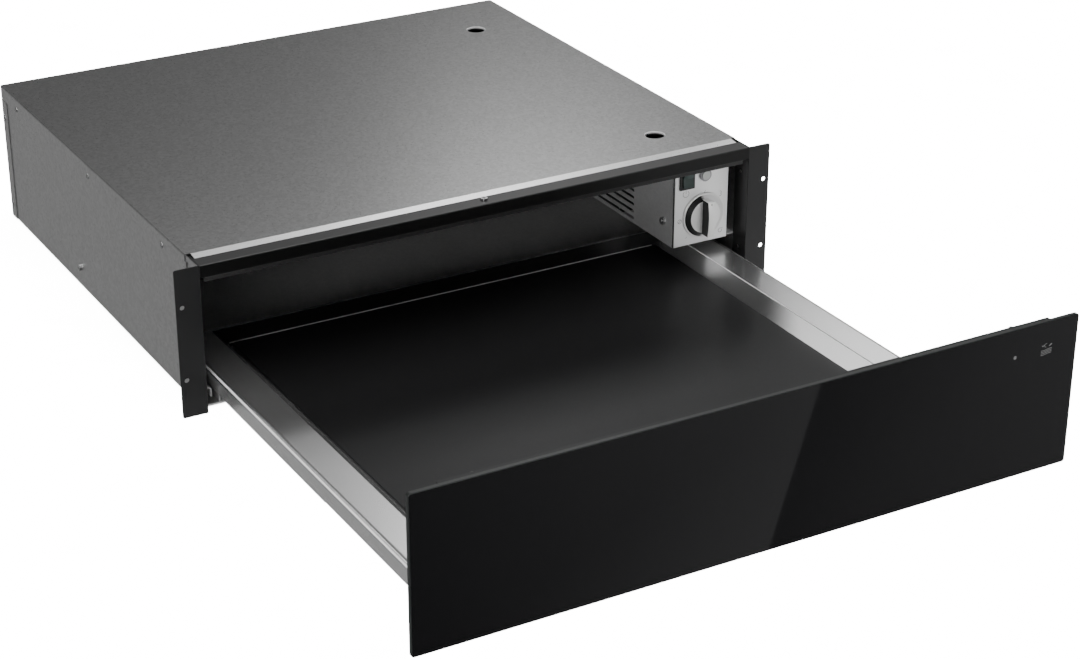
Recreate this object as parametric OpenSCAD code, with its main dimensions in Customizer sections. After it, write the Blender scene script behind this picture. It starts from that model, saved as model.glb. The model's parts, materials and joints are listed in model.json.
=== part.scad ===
// Built-in warming drawer, drawn out to its stop, in millimetres.
// The origin is the centre of the casing's underside. Y runs to the back, Z up.
// Most places are measured from the casing's front edge, which from_front() puts where it belongs.

/* [Casing] */
// Width over the cover's side flanges
case_w = 550; // [536:0.5:566]
// Depth from the cover's front edge to the back
case_d = 478.4; // [477.5:0.1:600]
// Height of the casing
case_h = 138; // [134:0.5:180]
// Thickness of the casing's steel sheet
sheet_t = 0.8; // [0.6:0.1:1]
// Height of the flanges that lap over the side panels
lap_h = 14; // [11:0.5:20]
// Outside radius of the cover's long bends
bend_r = 1.6; // [1.2:0.1:3]
// Reach of the base plate in front of the cover
base_reach = 11; // [6:0.5:16]
// Height of the base plate's front hem
hem_h = 5; // [3:0.1:5.2]

/* [Cover] */
// Distance of the sloping lip's ends from the cover's sides
lip_end = 5.5; // [5.4:0.1:20]
// Depth of that lip
lip_d = 9.7; // [6:0.1:12]
// Fall of the lip from its back to its front
lip_fall = 1.1; // [0.5:0.1:1.5]
// Diameter of the two holes in the cover
cover_hole_d = 19.6; // [10:0.5:24]
// Distance of the cover's holes from the cover's right side
cover_hole_side = 62; // [50:0.5:66]
// Distance of the front hole from the cover's front edge
cover_hole_front = 45; // [30:1:60]
// Distance of the rear hole from the back
cover_hole_back = 81.4; // [60:0.1:110]
// Depth of the collar round each hole
collar_h = 3; // [1.5:0.1:5]

/* [Front frame] */
// Distance of the mounting plane in front of the cover
flange_y = 24.1; // [20:0.1:30]
// Thickness of the flanges and of the rail
flange_t = 1.2; // [1:0.1:1.5]
// Gap between the edge of a flange and the edge of the drawer front
flange_inset = 1.5; // [0.5:0.1:4]
// Lowest point of a flange
flange_z = 1.1; // [0:0.1:3]
// Distance of a flange's top below the cover's top
flange_drop = 0.4; // [0.1:0.1:1]
// Distance of the screw holes from the cover's side
mount_out = 14.8; // [14.5:0.1:16.5]
// Height between the lower and the upper screw holes
mount_pitch_z = 67.1; // [40:0.1:80]
// Height of the middle of the screw pattern
mount_z = 69.4; // [60:0.1:76]
// Diameter of the screw holes
mount_hole_d = 4.4; // [3.5:0.1:6]
// Height of the rail's front face
rail_h = 11; // [8:0.1:12]
// Depth of the rail's top face
rail_d = 16.2; // [14:0.1:16.4]
// Height of the rubber seal under the rail
seal_h = 5.3; // [3.5:0.1:5.5]

/* [Drawer front] */
// Reach of the glass front past the cover's side
front_out = 22; // [21:0.5:25]
// Height of the glass front
front_h = 132.8; // [128:0.1:160]
// Height of the glass front's lower edge
front_z = 5.4; // [3:0.1:8]
// Thickness of the glass
glass_t = 4.5; // [3:0.1:6]
// Corner radius of the glass
glass_r = 2.5; // [1:0.1:6]
// Distance of the panel behind the glass from the cover's side
carrier_in = 4; // [3:0.5:8]
// Height of that panel's lower edge
carrier_z = 12; // [8:0.5:16]
// Depth of that panel
carrier_t = 3.4; // [2.5:0.1:5]

/* [Drawer] */
// Distance of the drawn-out runners' inner ends from the back
travel_left = 65.4; // [65.4:0.1:180]
// Distance of the tray's side skirts from the cover's side
tray_in = 11.5; // [10.5:0.1:13]
// Gap between the shut tray and the back panel
tray_back_gap = 3.1; // [2:0.1:30]
// Height of the tray's rim
tray_z = 34.2; // [33.5:0.1:36]
// Thickness of the tray's steel sheet
tray_t = 0.8; // [0.6:0.1:1]
// Radius of the rim's outer edge
rim_r = 5; // [2:0.1:6]
// Height of the lower edge of the skirts
skirt_z = 17.3; // [16:0.1:18.5]
// Width of the rim at each side of the basin
rim_w = 30.5; // [24:0.5:45]
// Height of the basin's floor
floor_z = 21.3; // [21.3:0.1:23]
// Run of the sloping side walls
side_run = 13; // [6:0.5:20]
// Run of the sloping rear wall
rear_run = 8; // [4:0.5:12]
// Width of the rim behind the rear wall
rear_rim = 3; // [2.2:0.1:6]
// Thickness of the mat on the floor
mat_t = 2.5; // [1.5:0.1:4]
// Corner radius of the mat
mat_r = 4; // [2:0.5:10]
// Gap between the mat and the walls
mat_gap = 1; // [0.5:0.1:3]

/* [Runners] */
// Distance of the fixed rails' rear ends from the back
runner_back = 48.4; // [40:0.1:58]
// Thickness of the runners' steel
runner_t = 1.2; // [1:0.1:1.3]
// Lowest point of the fixed rails
runner_z = 6; // [5.6:0.1:6.4]
// Height of the fixed rail's channel
runner_h = 21; // [20.4:0.1:22]
// Diameter of the balls
ball_d = 2.3; // [2:0.1:2.6]
// Balls in each row
balls = 7; // [4:1:10]
// Length of a ball cage
cage_l = 200; // [150:5:230]

/* [Controls] */
// Distance of the control box's wall from the cover's right side
box_w = 71.5; // [69:0.5:85]
// Height of the control box's floor
box_z = 43.6; // [40:0.1:46]
// Width of the control plate
plate_w = 58; // [56:0.5:60]
// Diameter of the knob's skirt
knob_d = 44; // [40:0.5:46]
// Width of the skirt's flat rim
knob_rim = 1.4; // [1:0.1:3]
// Diameter of the knob's front face
knob_face_d = 32; // [28:0.5:33.5]
// Height of the cone between the skirt and the front face
knob_h = 3.4; // [3:0.1:5]
// Height of the grip above the front face
grip_h = 11; // [8:0.1:12]
// Width of the grip
grip_w = 7.2; // [6.6:0.1:10]
// Length of the grip
grip_l = 34.6; // [30:0.1:36]
// Diameter of the thermostat's shaft
shaft_d = 4; // [3.6:0.1:4.6]
// Diameter of the indicator lamp
lamp_d = 12; // [10:0.5:14]
// Height of a vent slot
slot_h = 3; // [2:0.1:4]
// Length of a vent slot
slot_l = 126; // [60:1:140]
// Height from one slot to the next
slot_pitch = 7; // [5:0.1:8]
// Slots in one column
slot_rows = 9; // [4:1:11]

/* [Heating] */
// Side of the fan's square frame
fan_w = 80; // [60:1:84]
// Thickness of the fan
fan_t = 25; // [20:0.5:30]
// Blades of the fan
blades = 7; // [5:1:9]
// Diameter of the heating tube
tube_d = 6.5; // [5:0.1:8.5]
// Radius of the heating tube's bend
tube_bend = 18; // [12:0.5:24]
// Length of the heating tube's straight runs
tube_run = 110; // [80:1:130]

/* [Hidden] */

// Cuts run past the faces by this much
over = 1;
// Radial clearance of a turning or sliding fit
run_gap = 0.05;
// Clearance of a hole round its rivet or screw
pin_gap = 0.1;
// Gap between neighbouring sheets that don't touch
sheet_gap = 0.6;
// Facets of bores and shafts
bore_fn = 64;
// Facets of small round parts
small_fn = 32;

// Sizes that follow the casing
lip_w = case_w - 2 * lip_end;
cover_hole_x = case_w / 2 - cover_hole_side;
cover_hole_rear = case_d - cover_hole_back;
mount_pitch_x = case_w + 2 * mount_out;
front_w = case_w + 2 * front_out;
carrier_w = case_w - 2 * carrier_in;
tray_w = case_w - 2 * tray_in;
basin_w = tray_w - 2 * rim_w;
travel = case_d - travel_left;
box_x = case_w / 2 - box_w;

// Casing faces
side_out = case_w / 2 - sheet_t;
side_in = side_out - sheet_t;
cover_under = case_h - sheet_t;
back_in = case_d - sheet_t;
flange_front = -flange_y;
flange_back = flange_front + flange_t;
flange_out = front_w / 2 - flange_inset;
flange_top = case_h - flange_drop;
leg_in = side_in - flange_t;
leg_rear = -3;
leg_low = 26;
flange_r = 2;
flange_edge_r = 0.6;
// The cover's flanges stop short of the corner, where the sheet is relieved
relief_z = 6;
relief_y = 3;
cover_front = -0.5;
lip_back = 2.1;
lip_front = lip_back - lip_d;

// Rivets
rivet_d = 3.2;
rivet_head_d = 6;
rivet_head_h = 1;
rivet_tail = 1.5;
rivet_drop = 11;
rivet_z = case_h - rivet_drop;
rivet_mid_share = 0.4912;
rivet_front = 55;
rivet_back = 45.4;
rivet_ys = [rivet_front, rivet_mid_share * case_d, case_d - rivet_back];
back_rivet_in = 5.5;
back_rivet_low = 14.7;
back_rivet_drop = 33;
back_rivet_y = case_d - back_rivet_in;
back_rivet_zs = [back_rivet_low, case_h - back_rivet_drop];
flange_rivet_y = -12;
flange_rivet_low = 34;
flange_rivet_drop = 28;
flange_rivet_zs = [flange_rivet_low, case_h - flange_rivet_drop];

// Screws
screw_d = 3.9;
screw_head_d = 7;
screw_head_h = 2.2;
recess_d = 3;
recess_h = 1.2;
runner_screw_share = 0.5853;
runner_screw_front = 6;
runner_screw_ys = [runner_screw_front, runner_screw_share * case_d];
runner_screw_z = 19;
screw_l = 5;
rail_screw_y = -13.7;
rail_head_d = 6.5;
rail_head_h = 1.7;

// Front rail and its seal
rail_drop = 0.5;
rail_top = case_h - rail_drop;
rail_front = flange_front;
rail_low = rail_top - rail_h;
rail_back = rail_front + rail_d;
shelf_d = 12;
shelf_drop = 3;
rail_foot = 15;
rail_edge_r = 1;
seal_end = 7;
seal_w = case_w - 2 * seal_end;
seal_bead_r = 0.6;
seal_back = 10;
seal_step = 1.7;

// Runner members, right-hand side, from the outside to the middle
hook_w = 6.4;
hook_z = 23;
hook_fall = 6;
skirt_gap = 2.7;
fix_web_out = tray_w / 2 - skirt_gap;
fix_web_in = fix_web_out - runner_t;
web_gap = 1.2;
mid_out = fix_web_in - web_gap;
mid_in = mid_out - runner_t;
slider_out = mid_in - web_gap;
slider_w = 5.8;
slider_in = slider_out - slider_w;
fix_lip_step = 3;
mid_lip_step = 2;
fix_lip_in = slider_in + fix_lip_step;
mid_lip_in = slider_in + mid_lip_step;
ball_space = ball_d + 2 * run_gap;
fix_low = runner_z + runner_t;
fix_high = runner_z + runner_h - runner_t;
mid_low = fix_low + ball_space;
mid_high = fix_high - ball_space;
slider_low = mid_low + runner_t + ball_space;
slider_high = mid_high - runner_t - ball_space;
runner_front = -20;
runner_l = case_d - runner_back - runner_front;
middle_front = runner_front - travel / 2;
slider_front = runner_front - travel;
slider_top_w = 8;
cage_t = 0.5;
cage_outer_y = 0;
cage_step = 1.5;
cage_inner_y = cage_step - travel / 2;
ball_inset = 10;
ball_seat = 0.05;

// Drawer, drawn out
tray_under = tray_z - tray_t;
shut_gap = 7.7;
carrier_back_y = flange_front - shut_gap - travel;
glass_back_y = carrier_back_y - carrier_t;
glass_front_y = glass_back_y - glass_t;
tray_rear = case_d - sheet_t - tray_back_gap - travel;
basin_rear = tray_rear - rear_rim;
basin_depth = tray_z - floor_z;
floor_w = basin_w - 2 * side_run;
floor_rear = basin_rear - rear_run;
side_skin = tray_t * sqrt(side_run * side_run + basin_depth * basin_depth) / basin_depth;
rear_skin = tray_t * sqrt(rear_run * rear_run + basin_depth * basin_depth) / basin_depth;
carrier_drop = 0.6;
carrier_top = front_z + front_h - carrier_drop;
carrier_sheet = 0.8;
guide_d = 6;
front_screw_out = 10;
front_screw_x = basin_w / 2 + front_screw_out;
front_screw_zs = [21.5, 28.5];
front_screw_d = 3.4;
front_screw_head_d = 6;
front_screw_l = 3;

// Control box, plate and what they carry
box_front = -2;
plate_y = -5;
plate_t = 1;
plate_gap = 1.5;
plate_x = box_x + plate_gap;
plate_drop = 4;
plate_top = case_h - plate_drop;
plate_tab = 18;
box_lid = 12;
box_notch = 3.5;
collar_notch = cover_hole_d / 2 + sheet_t + sheet_gap;
box_in = box_x + sheet_t;
box_floor = box_z + sheet_t;
slot_low = 5.1;
slot_z = box_z + slot_low;
slot_front = 64;
slot_share = 0.4808;
slot_ys = [slot_front, slot_share * case_d];
box_screw_y = 11.6;
box_screw_rises = [22, 80];
box_screw_zs = [for (r = box_screw_rises) box_z + r];
box_screw_l = 6;
knob_out = 32.5;
knob_x = box_x + knob_out;
knob_z = 71;
knob_gap = 0.6;
skirt_t = 1.2;
knob_socket = 10;
bush_d = 10;
bush_out = 2;
nut_d = 11.9;
nut_t = 1.4;
nut_recess_d = 15;
thermo_w = 28;
thermo_t = 20;
shaft_in = 9;
lamp_out = 33.7;
lamp_x = box_x + lamp_out;
lamp_drop = 27;
lamp_z = case_h - lamp_drop;
lamp_ring_t = 2;
lamp_body_d = 9;
lamp_body_l = 20;
lamp_lens_d = 8.4;
lamp_lens_out = 1;
switch_out = 13.75;
switch_x = box_x + switch_out;
switch_drop = 26;
switch_z = case_h - switch_drop;
switch_w = 15.5;
switch_h = 23;
switch_bezel_t = 2;
switch_body_w = 13.6;
switch_body_h = 20.4;
switch_body_l = 19;
switch_pocket_w = 11;
switch_pocket_h = 18.8;
switch_pocket_l = 8;
rocker_w = 10.4;
rocker_h = 16.4;
rocker_axis_y = -4;
rocker_crest = 6.2;
rocker_valley = 3.8;
rocker_back = 3;
rocker_tilt = 9;
rocker_pin_d = 2.4;
rocker_pin_l = 1.1;

// Fan
fan_y = 127;
fan_foot = 2;
fan_z = box_floor + fan_foot + fan_w / 2;
fan_rim = 2;
fan_bore_d = fan_w - 2 * fan_rim;
fan_ear_d = 4.3;
fan_ear_in = 4.25;
fan_ear_pitch = fan_w - 2 * fan_ear_in;
hub_d = 36;
hub_wall = 3;
hub_front = 2;
hub_l = 15.7;
stator_d = 28;
stator_l = 12;
seat_t = 3;
seat_d = 34;
spoke_w = 5;
spokes = 4;
fan_shaft_d = 3;
blade_tip = 1.5;
blade_t = 1.6;
blade_pitch = 38;
blade_l = 13;

// Heating tube, its brackets, cut-out and connections
tube_x = 20;
tube_share = 0.4912;
tube_y = tube_share * case_d;
tube_z = 60;
bracket_ins = [23, 87];
bracket_ys = [for (b = bracket_ins) tube_y + b];
bracket_t = 1.2;
bracket_edge = 6;
terminal_d = 9;
terminal_l = 8;
stud_d = 4;
stud_l = 7;
cutout_gap = 23;
cutout_y = tube_y - cutout_gap;
cutout_z = 80;
cutout_d = 16;
cutout_h = 9;
cutout_tab_w = 6;
cutout_tab_h = 24;
block_w = 34;
block_l = 16;
block_h = 22;
block_back = 48.4;
block_y = case_d - block_back;
block_poles = 3;
block_bore_d = 4;
inlet_out = 34.5;
inlet_x = box_x + inlet_out;
inlet_z = 75;
inlet_hole_d = 16;
inlet_bore_d = 8.4;
inlet_flange_d = 22;
inlet_flange_t = 3;
inlet_dome_d = 14;
inlet_dome_t = 5;
inlet_neck_l = 6;
inlet_nut_d = 22;
inlet_nut_t = 3;
vent_out = 11.5;
vent_x = box_x + vent_out;
vent_w = 3;
vent_h = 30;
vent_z = 88;
vent_pitch = 7;
vents = 8;

// Buffers behind the drawer front, and their gap to the rail when shut
buffer_d = 6;
buffer_in = 23.5;
buffer_drop = 6.6;
buffer_x = tray_w / 2 - buffer_in;
buffer_z = rail_top - buffer_drop;
buffer_gap = 0.4;
buffer_end = flange_front - buffer_gap - travel;

// Push latch under the tray
latch_w = 36;
latch_l = 45;
latch_h = 14;
latch_back = 91.4;
latch_tip_y = case_d - latch_back;
latch_gap = 0.4;
plunger_d = 6;
plunger_tip_d = 9;
plunger_tip_l = 3;
plunger_stroke = 6;
plunger_z = 7.8;
plunger_l = 38;
striker_w = 24;
striker_t = 2;
striker_foot = 16;
striker_foot_t = 1.2;
striker_low = 6;

// Colours
steel = "darkgray";
bright = "silver";
black = [0.05, 0.05, 0.055];
rubber = [0.09, 0.09, 0.09];

// Helpers

module from_front() translate([0, -case_d / 2, 0]) children();

module box(x, y, z) translate([x[0], y[0], z[0]]) cube([x[1] - x[0], y[1] - y[0], z[1] - z[0]]);

// An outline in X and Z, drawn along Y
module along_y(y) translate([0, y[1], 0]) rotate([90, 0, 0]) linear_extrude(y[1] - y[0]) children();

// An outline in Y and Z, drawn along X
module along_x(x) translate([x[0], 0, 0]) rotate([90, 0, 90]) linear_extrude(x[1] - x[0]) children();

// The right-hand shape, or its mirror image on the left
module on_side(side) {
    if (side < 0) mirror([1, 0, 0]) children();
    else children();
}

module rod_x(x, y, z, d, fn = small_fn)
    translate([x[0], y, z]) rotate([0, 90, 0]) cylinder(h = x[1] - x[0], d = d, $fn = fn);

module rod_y(x, y, z, d, fn = bore_fn)
    translate([x, y[1], z]) rotate([90, 0, 0]) cylinder(h = y[1] - y[0], d = d, $fn = fn);

module rod_z(x, y, z, d, fn = bore_fn)
    translate([x, y, z[0]]) cylinder(h = z[1] - z[0], d = d, $fn = fn);

module round_box_2d(w, h, r) {
    square([w - 2 * r, h], center = true);
    square([w, h - 2 * r], center = true);
    for (sx = [-1, 1], sy = [-1, 1])
        translate([sx * (w / 2 - r), sy * (h / 2 - r)]) circle(r, $fn = small_fn);
}

// A block outline with its two upper corners rounded
module crown_2d(w, low, high, r) {
    translate([-w / 2, low]) square([w, high - low - r]);
    translate([-w / 2 + r, low]) square([w - 2 * r, high - low]);
    for (s = [-1, 1]) translate([s * (w / 2 - r), high - r]) circle(r, $fn = bore_fn);
}

// Casing

module base_plate() color(steel) from_front() {
    box([-side_in, side_in], [-base_reach, back_in], [0, sheet_t]);
    box([-side_in, side_in], [-base_reach, sheet_t - base_reach], [sheet_t, hem_h]);
}

module side_panel(side) color(steel) from_front() on_side(side) difference() {
    box([side_in, side_out], [flange_back, back_in], [0, cover_under]);
    for (y = rivet_ys) side_hole(y, rivet_z, rivet_d);
    for (z = back_rivet_zs) side_hole(back_rivet_y, z, rivet_d);
    for (z = flange_rivet_zs) side_hole(flange_rivet_y, z, rivet_d);
    for (y = runner_screw_ys) side_hole(y, runner_screw_z, screw_d);
}

module side_panel_left() side_panel(-1);
module side_panel_right() side_panel(1);

module side_hole(y, z, d) rod_x([leg_in - over, case_w / 2 + over], y, z, d + 2 * pin_gap);

module top_cover() color(steel) from_front() difference() {
    union() {
        along_y([lip_back, case_d]) difference() {
            crown_2d(case_w, case_h - lap_h, case_h, bend_r);
            translate([-side_out, case_h - lap_h - over]) square([2 * side_out, lap_h + over - sheet_t]);
        }
        for (s = [-1, 1]) on_side(s)
            box([side_out, case_w / 2], [cover_front, lip_back], [case_h - lap_h, case_h - relief_z]);
        along_x([-lip_w / 2, lip_w / 2]) polygon([
            [lip_back, case_h], [lip_back, cover_under],
            [lip_front, cover_under - lip_fall], [lip_front, case_h - lip_fall]]);
        for (y = [cover_hole_front, cover_hole_rear])
            rod_z(cover_hole_x, y, [case_h - collar_h, case_h], cover_hole_d + 2 * sheet_t);
    }
    for (y = [cover_hole_front, cover_hole_rear])
        rod_z(cover_hole_x, y, [case_h - collar_h - over, case_h + over], cover_hole_d);
    for (s = [-1, 1]) on_side(s) {
        for (y = rivet_ys) side_hole(y, rivet_z, rivet_d);
        box([lip_w / 2, case_w / 2 + over], [lip_back - over, relief_y],
            [case_h - relief_z, case_h + over]);
    }
}

module back_panel() color(steel) from_front() difference() {
    union() {
        box([-side_out, side_out], [back_in, case_d], [0, cover_under]);
        for (s = [-1, 1]) on_side(s) box([side_out, case_w / 2], [case_d - lap_h, case_d],
            [0, case_h - lap_h - sheet_gap]);
    }
    for (s = [-1, 1], z = back_rivet_zs) on_side(s) side_hole(back_rivet_y, z, rivet_d);
    rod_y(inlet_x, [back_in - over, case_d + over], inlet_z, inlet_hole_d + 2 * pin_gap);
    for (i = [0 : vents - 1]) translate([vent_x + i * vent_pitch, 0, vent_z])
        along_y([back_in - over, case_d + over]) translate([0, vent_h / 2]) {
            square([vent_w, vent_h - vent_w], center = true);
            for (s = [-1, 1]) translate([0, s * (vent_h - vent_w) / 2]) circle(d = vent_w, $fn = small_fn);
        }
}

module rivet(x, y, z) {
    rod_x([x, x + rivet_head_h], y, z, rivet_head_d);
    rod_x([side_in - rivet_tail, x], y, z, rivet_d);
}

module casing_rivets() color(bright) from_front() for (s = [-1, 1]) on_side(s) {
    for (y = rivet_ys) rivet(case_w / 2, y, rivet_z);
    for (z = back_rivet_zs) rivet(case_w / 2, back_rivet_y, z);
}

// Front frame

module mounting_flange(side) color(black) from_front() on_side(side) difference() {
    intersection() {
        translate([0, 0, flange_z]) linear_extrude(flange_top - flange_z) {
            translate([leg_in + flange_edge_r, flange_front])
                square([flange_out - leg_in - flange_edge_r, flange_t]);
            translate([leg_in, flange_front + flange_edge_r])
                square([flange_t, leg_rear - flange_front - flange_edge_r]);
            translate([leg_in + flange_edge_r, flange_front + flange_edge_r])
                circle(flange_edge_r, $fn = small_fn);
        }
        along_y([flange_front - over, leg_rear + over]) {
            translate([leg_in - over, flange_z]) square([side_out - leg_in + over, flange_top - flange_z]);
            translate([(flange_out + leg_in) / 2, (flange_top + flange_z) / 2])
                round_box_2d(flange_out - leg_in, flange_top - flange_z, flange_r);
        }
    }
    box([leg_in - over, side_in + over], [flange_back, leg_rear + over], [flange_z - over, leg_low]);
    for (s = [-1, 1]) rod_y(mount_pitch_x / 2, [flange_front - over, flange_back + over],
        mount_z + s * mount_pitch_z / 2, mount_hole_d);
    for (z = flange_rivet_zs) side_hole(flange_rivet_y, z, rivet_d);
}

module mounting_flange_left() mounting_flange(-1);
module mounting_flange_right() mounting_flange(1);

module flange_rivets() color(bright) from_front() for (s = [-1, 1], z = flange_rivet_zs) on_side(s) {
    rod_x([side_out, side_out + rivet_head_h], flange_rivet_y, z, rivet_head_d);
    rod_x([leg_in, side_out], flange_rivet_y, z, rivet_d);
}

module front_rail() color(black) from_front() difference() {
    along_x([-leg_in, leg_in]) {
        translate([rail_front, rail_top - flange_t]) difference() {
            square([rail_d, flange_t]);
            translate([-over, flange_t - rail_edge_r]) square([over + rail_edge_r, rail_edge_r + over]);
        }
        translate([rail_front + rail_edge_r, rail_top - rail_edge_r]) circle(rail_edge_r, $fn = small_fn);
        translate([rail_front, rail_low]) square([flange_t, rail_h - rail_edge_r]);
        translate([rail_front, rail_low]) square([rail_foot, flange_t]);
        translate([rail_back - flange_t, rail_top - shelf_drop]) square([flange_t, shelf_drop]);
        translate([rail_back - flange_t, rail_top - shelf_drop]) square([shelf_d, flange_t]);
    }
    rod_z(0, rail_screw_y, [rail_low - over, rail_top + over], screw_d + 2 * pin_gap);
}

module rail_seal() color(rubber) from_front() difference() {
    along_x([-seal_w / 2, seal_w / 2]) {
        translate([rail_front + flange_t, rail_low - 2 * seal_bead_r]) square([seal_back, 2 * seal_bead_r]);
        translate([rail_front + flange_t, rail_low - seal_bead_r]) circle(seal_bead_r, $fn = small_fn);
        translate([rail_front + flange_t + seal_step, rail_low - seal_h])
            square([seal_back - seal_step, seal_h - seal_bead_r]);
    }
    rod_z(0, rail_screw_y, [rail_low - seal_h - over, rail_top], screw_head_d);
}

module rail_screw() color(bright) from_front() difference() {
    union() {
        rod_z(0, rail_screw_y, [rail_top, rail_top + rail_head_h], rail_head_d);
        rod_z(0, rail_screw_y, [rail_low - flange_t, rail_top], screw_d);
    }
    rod_z(0, rail_screw_y, [rail_top + rail_head_h - recess_h, rail_top + rail_head_h + over],
        recess_d, small_fn);
}

// Runners, right-hand side

module runner_rail(side) color(bright) from_front() on_side(side) difference() {
    along_y([runner_front, runner_front + runner_l]) {
        translate([leg_in, runner_z]) square([side_in - leg_in, hook_z - runner_z - hook_w / 2]);
        translate([side_in - hook_w / 2, hook_z - hook_w / 2]) difference() {
            circle(d = hook_w, $fn = bore_fn);
            circle(d = hook_w - 2 * runner_t, $fn = bore_fn);
            translate([-hook_w, -hook_w]) square([2 * hook_w, hook_w]);
        }
        translate([side_in - hook_w, hook_z - hook_w / 2 - hook_fall]) square([runner_t, hook_fall]);
        translate([fix_lip_in, runner_z]) square([side_in - fix_lip_in, runner_t]);
        translate([fix_web_in, runner_z]) square([runner_t, runner_h]);
        translate([fix_lip_in, fix_high]) square([fix_web_out - fix_lip_in, runner_t]);
    }
    for (y = runner_screw_ys) side_hole(y, runner_screw_z, screw_d);
}

module runner_rail_left() runner_rail(-1);
module runner_rail_right() runner_rail(1);

module runner_screws() color(bright) from_front()
    for (s = [-1, 1], y = runner_screw_ys) on_side(s) difference() {
        union() {
            rod_x([side_out, side_out + screw_head_h], y, runner_screw_z, screw_head_d);
            rod_x([side_out - screw_l, side_out], y, runner_screw_z, screw_d);
        }
        rod_x([side_out + screw_head_h - recess_h, side_out + screw_head_h + over],
            y, runner_screw_z, recess_d);
    }

module runner_middle(side) color(bright) from_front() on_side(side)
    along_y([middle_front, middle_front + runner_l]) {
        translate([mid_in, mid_low]) square([runner_t, mid_high - mid_low]);
        for (z = [mid_low, mid_high - runner_t])
            translate([mid_lip_in, z]) square([mid_out - mid_lip_in, runner_t]);
    }

module runner_middle_left() runner_middle(-1);
module runner_middle_right() runner_middle(1);

module runner_slider(side) color(bright) from_front() on_side(side)
    along_y([slider_front, slider_front + runner_l]) {
        translate([slider_in, slider_low]) square([runner_t, tray_under - slider_low]);
        for (z = [slider_low, slider_high - runner_t])
            translate([slider_in, z]) square([slider_out - slider_in, runner_t]);
        translate([slider_in, tray_under - runner_t]) square([slider_top_w, runner_t]);
    }

module runner_slider_left() runner_slider(-1);
module runner_slider_right() runner_slider(1);

// A strip with a row of caged balls along its upper and its lower edge
module cage(side, y, x, x_in, z) color(bright) from_front() on_side(side) {
    ball_x = (x_in + x - cage_t) / 2;
    ball_ys = [for (i = [0 : balls - 1]) y + ball_inset + i * (cage_l - 2 * ball_inset) / (balls - 1)];
    difference() {
        along_y([y, y + cage_l]) {
            translate([x - cage_t, z[0] - cage_t / 2]) square([cage_t, z[1] - z[0] + cage_t]);
            for (zz = z) translate([x_in, zz - cage_t / 2]) square([x - x_in, cage_t]);
        }
        for (by = ball_ys, zz = z)
            rod_z(ball_x, by, [zz - cage_t, zz + cage_t], ball_d + 2 * ball_seat, small_fn);
    }
    for (by = ball_ys, zz = z) translate([ball_x, by, zz]) sphere(d = ball_d, $fn = small_fn);
}

module cage_outer(side) cage(side, cage_outer_y, fix_web_in - (web_gap - cage_t) / 2, fix_lip_in + cage_t,
    [(fix_low + mid_low) / 2, (fix_high + mid_high) / 2]);

module cage_inner(side) cage(side, cage_inner_y, mid_in - (web_gap - cage_t) / 2, mid_lip_in + cage_t,
    [(mid_low + runner_t + slider_low) / 2, (mid_high - runner_t + slider_high) / 2]);

module cage_outer_left() cage_outer(-1);
module cage_outer_right() cage_outer(1);
module cage_inner_left() cage_inner(-1);
module cage_inner_right() cage_inner(1);

// Drawer

// The basin, as a block with sloping sides and rear, grown outwards by the given skin
module basin(low, high, side_grow, rear_grow, front) intersection() {
    along_y([front, tray_rear]) {
        half = basin_w / 2 + side_grow;
        slope = side_run / basin_depth;
        polygon([for (p = [[-1, low], [1, low], [1, high], [-1, high]])
            [p[0] * (half - (tray_z - p[1]) * slope), p[1]]]);
    }
    along_x([-tray_w / 2, tray_w / 2]) {
        back = basin_rear + rear_grow;
        slope = rear_run / basin_depth;
        polygon([[front, low], [back - (tray_z - low) * slope, low],
            [back - (tray_z - high) * slope, high], [front, high]]);
    }
}

module drawer_tray() color(bright) from_front() difference() {
    union() {
        difference() {
            along_y([carrier_back_y, tray_rear]) crown_2d(tray_w, skirt_z, tray_z, rim_r);
            along_y([carrier_back_y + tray_t, tray_rear - tray_t])
                crown_2d(tray_w - 2 * tray_t, skirt_z - over, tray_under, rim_r - tray_t);
        }
        basin(floor_z - tray_t, tray_z, side_skin, rear_skin, carrier_back_y);
    }
    basin(floor_z, tray_z + over, 0, 0, carrier_back_y - over);
    for (s = [-1, 1]) on_side(s) box([slider_in - sheet_gap, tray_w / 2 - tray_t],
        [tray_rear - tray_t - over, tray_rear + over], [skirt_z - over, tray_under]);
    front_screw_holes(front_screw_d);
}

module floor_mat() color(black) from_front() {
    front = carrier_back_y + mat_gap;
    rear = floor_rear - mat_gap;
    translate([0, (front + rear) / 2, floor_z]) linear_extrude(mat_t)
        round_box_2d(floor_w - 2 * mat_gap, rear - front, mat_r);
}

module front_carrier() color("dimgray") from_front() difference() {
    box([-carrier_w / 2, carrier_w / 2], [glass_back_y, carrier_back_y], [carrier_z, carrier_top]);
    box([carrier_sheet - carrier_w / 2, carrier_w / 2 - carrier_sheet],
        [glass_back_y - over, carrier_back_y - carrier_sheet],
        [carrier_z + carrier_sheet, carrier_top - carrier_sheet]);
    rod_y(lamp_x, [glass_back_y, carrier_back_y + over], lamp_z, guide_d + 2 * pin_gap);
    front_screw_holes(front_screw_d);
}

module front_screw_holes(d) for (s = [-1, 1], z = front_screw_zs)
    rod_y(s * front_screw_x, [carrier_back_y - carrier_sheet - over, carrier_back_y + tray_t + over],
        z, d + 2 * pin_gap, small_fn);

module front_screws() color(bright) from_front() for (s = [-1, 1], z = front_screw_zs) {
    seat = carrier_back_y + tray_t;
    rod_y(s * front_screw_x, [seat, seat + screw_head_h], z, front_screw_head_d, small_fn);
    rod_y(s * front_screw_x, [seat - front_screw_l, seat], z, front_screw_d, small_fn);
}

module front_glass() color(black) from_front() along_y([glass_front_y, glass_back_y])
    translate([0, front_z + front_h / 2]) round_box_2d(front_w, front_h, glass_r);

module light_guide() color("whitesmoke") from_front()
    rod_y(lamp_x, [glass_back_y, carrier_back_y + guide_d / 2], lamp_z, guide_d);

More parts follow.
